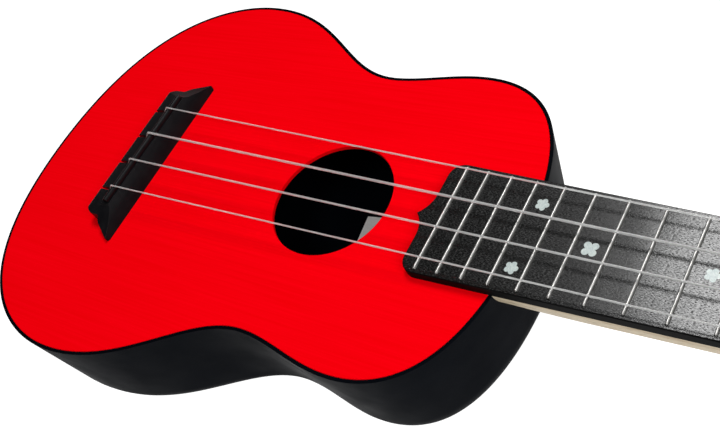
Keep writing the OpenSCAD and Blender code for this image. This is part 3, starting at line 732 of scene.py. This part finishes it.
def fret(n, steps=5, sides=16):
    """One fret's crown: half round, with a hollow about a point in each end."""
    y = SCALE_LEN * 2 ** (-n / 12)
    half = board_half(y) - FRET_INSET
    end = [(-half, POINT_SHARE)]
    for k in range(1, steps):
        reach = math.sin(math.pi / 2 * k / steps)
        end.append((-half + HOLLOW_LEN * (1 - reach), reach ** HOLLOW_CURVE))
    end.append((-half + FULL_FROM, 1))
    rings = []
    for x, grow in end + [(-x, grow) for x, grow in end[::-1]]:
        half_w, rise = FRET_HALF_W * grow, (FRET_H + FRET_SINK) * grow
        rings.append([(x, y + half_w * math.cos(a), BOARD_Z - FRET_SINK + rise * math.sin(a))
                      for a in (math.pi * j / sides for j in range(sides + 1))])
    return loft(rings)


def make_frets():
    crowns = merged([fret(n) for n in range(1, FRETS + 1)])
    piece("fret_wires", crowns, "fret_metal", ["frets"], sharp=50)


# ---------------------------------------------------------------- strings


def string_x(i, gap):
    """Place across the neck of string i, where the strings are gap apart."""
    return (i - 1.5) * gap + STRING_SHIFT


def wind_point(key, turn):
    """Centre line of the winding, turn turns after the string meets the post."""
    side, u = POSTS[key]
    r = POST_WAIST_R + POST_GAP + STRING_R[key]
    a = (math.pi if side > 0 else 0) - side * math.tau * turn
    pitch = 2 * STRING_R[key] + TURN_GAP
    return head_world(side * POST_X + r * math.cos(a), u + r * math.sin(a),
                      WIND_W + STRING_R[key] + pitch * turn)


def string_route(i, key):
    """From the knot over the saddle and the nut, and three turns up the post."""
    r = STRING_R[key]
    x_saddle, x_nut = string_x(i, GAP_SADDLE), string_x(i, GAP_NUT)
    over = SADDLE_R + r + STRING_LIFT
    crown = TOP_Z + SADDLE_H - SADDLE_R
    start = [(x_saddle, KNOT_Y - 1.9, TOP_Z + KNOT_Z - 0.6), (x_saddle, KNOT_Y, TOP_Z + KNOT_Z),
             (x_saddle, KNOT_Y + 1.4, TOP_Z + KNOT_Z + 1.15)]
    bend = [math.radians(a) for a in range(134, 91, -4)]
    saddle = [(x_saddle, SADDLE_Y + over * math.cos(a), crown + over * math.sin(a)) for a in bend]
    nut = [(x_nut, SCALE_LEN + 0.3, TOP_Z + NUT_SLOT_H + r + 0.01),
           (x_nut, SCALE_LEN + 1.2, TOP_Z + NUT_SLOT_H + r),
           (x_nut, SCALE_LEN + 2.2, TOP_Z + NUT_SLOT_H + r - 0.12)]
    turns = [wind_point(key, k / WIND_STEPS) for k in range(WIND_STEPS * WIND_TURNS + 1)]
    return start + saddle + nut + turns


def knot(i, key, turns=3, steps=20):
    """Barrel knot that stops the string in the bridge, wound about the string's end."""
    r = STRING_R[key]
    x = string_x(i, GAP_SADDLE)
    wind = KNOT_R - r
    span = turns * KNOT_PITCH * r
    path = []
    for k in range(turns * steps + 1):
        a = math.tau * k / steps
        y = KNOT_Y - span / 2 + span * k / (turns * steps)
        path.append((x + wind * math.cos(a), y, TOP_Z + KNOT_Z + wind * math.sin(a)))
    return tube(path, r, 10)


def make_strings():
    for i, key in enumerate(STRINGS):
        shape = merged([tube(string_route(i, key), STRING_R[key]), knot(i, key)])
        piece("nylon_" + key, shape, "nylon", ["string_" + key], sharp=60)


# ---------------------------------------------------------------- tuners


def at_post(key, x, u, w):
    """A place beside a post, mirrored on the G and C side."""
    side, post_u = POSTS[key]
    return head_world(side * (POST_X + x), post_u + u, w)


def thread_r(turn):
    """Radius of the worm's thread, once round for each whole turn."""
    d = abs(turn - math.floor(turn) - 0.5) * 2
    fall = min(1, max(0, (d - THREAD_CREST) / THREAD_FLANK))
    return WORM_R + THREAD_OUT - (THREAD_OUT + THREAD_IN) * fall


def make_worm(key, sides=48, steps=110, run_out=0.5):
    """Worm and shaft as one turned piece; the thread runs out at both ends."""
    pitch = math.pi * GEAR_M

    def radius(x, a):
        left = min(1, (WORM_HALF - abs(x)) / run_out)
        r = thread_r(x / pitch - a / math.tau)
        return SHAFT_R + (r - SHAFT_R) * max(0, left) ** 0.5

    stations = [(SHAFT_IN, SHAFT_R - IN_CHAMFER), (SHAFT_IN + IN_CHAMFER, SHAFT_R),
                (-WORM_HALF - THREAD_STEP, SHAFT_R)]
    stations += [(WORM_HALF * (2 * k / steps - 1), None) for k in range(steps + 1)]
    stations += [(WORM_HALF + THREAD_STEP, SHAFT_R), (SHAFT_OUT - OUT_CHAMFER, SHAFT_R),
                 (SHAFT_OUT, SHAFT_R - OUT_CHAMFER)]
    rings = []
    for x, plain in stations:
        ring = []
        for j in range(sides):
            a = -math.tau * j / sides
            r = plain or radius(x, a)
            ring.append(at_post(key, x, -CENTRE_D + r * math.cos(a), GEAR_W + r * math.sin(a)))
        rings.append(ring)
    piece("worm_shaft_" + key, loft(rings), "tuner_metal", ["worm_" + key], "knob_" + key, sharp=60)


def make_tuners():
    for key in STRINGS:
        refined("plate_" + key, bevel=0.2)
        refined("gear_" + key, bevel=0.08)
        refined("post_" + key, bevel=0.12)
        refined("button_" + key, bevel=0.8, segments=4, edge_angle=32)
        make_worm(key)


# ---------------------------------------------------------------- floor, lights, camera


def make_floor():
    bpy.ops.mesh.primitive_plane_add(size=FLOOR_SIZE, location=FLOOR_PLACE)
    floor = bpy.context.object
    floor.name = "floor"
    f = Finish("floor_paint", grey(0.3), 0.9, specular=0.1)
    f.colour(300, grey(0.28), grey(0.32), detail=2)
    f.put("Emission Color", (1, 1, 1, 1))
    f.put("Emission Strength", 1.0)
    floor.data.materials.append(f.material)


def area_light(name, place, aim, size, power_w):
    """A square soft light at place that faces aim; both in metres."""
    data = bpy.data.lights.new(name, "AREA")
    data.size = size
    data.energy = power_w
    light = bpy.data.objects.new(name, data)
    bpy.context.scene.collection.objects.link(light)
    light.location = place
    light.rotation_euler = (Vector(aim) - Vector(place)).to_track_quat("-Z", "Y").to_euler()


def make_lights():
    """A key high on the G side, a weaker one past the headstock, and a fill on the A side."""
    middle = (0, 0.12, 0.05)
    area_light("key", (-0.57, 0.02, 1.08), middle, 0.38, 7.6)
    area_light("front", (0.2, 0.95, 0.7), middle, 0.5, 4.6)
    area_light("fill", (0.39, 0.45, 0.84), middle, 0.2, 3)
    world = bpy.data.worlds.new("studio")
    bpy.context.scene.world = world
    world.use_nodes = True
    background = world.node_tree.nodes["Background"]
    background.inputs["Color"].default_value = (1, 1, 1, 1)
    background.inputs["Strength"].default_value = 0.06


def make_camera():
    """Looks down on the body from the headstock's end, with the neck running to the right."""
    target = Vector((3.67, 111.79, TOP_Z)) * MM
    distance = 362.96 * MM
    azimuth, elevation, roll = (math.radians(a) for a in (56.85, 45.48, -34.87))
    back = Vector((math.cos(elevation) * math.cos(azimuth),
                   math.cos(elevation) * math.sin(azimuth), math.sin(elevation)))
    right = Vector((0, 0, 1)).cross(back).normalized()
    facing = Matrix((right, back.cross(right), back)).transposed().to_4x4()
    data = bpy.data.cameras.new("camera")
    data.sensor_width = 36
    data.lens = 49.53
    data.clip_start = 0.01
    camera = bpy.data.objects.new("camera", data)
    bpy.context.scene.collection.objects.link(camera)
    place = Matrix.Translation(target + distance * back)
    camera.matrix_world = place @ facing @ Matrix.Rotation(roll, 4, "Z")
    bpy.context.scene.camera = camera
    bpy.context.scene.view_settings.view_transform = "Standard"


# ---------------------------------------------------------------- scene

finish_cad_nodes()
make_shell()
make_top()
make_neck()
make_fretboard()
make_frets()
refined("headstock_face", bevel=0.3)
refined("inlays", bevel=0.04)
refined("nut", bevel=0.2)
refined("bridge", bevel=0.35, segments=3)
refined("saddle", bevel=0.15)
make_strings()
make_tuners()
make_floor()
make_lights()
make_camera()
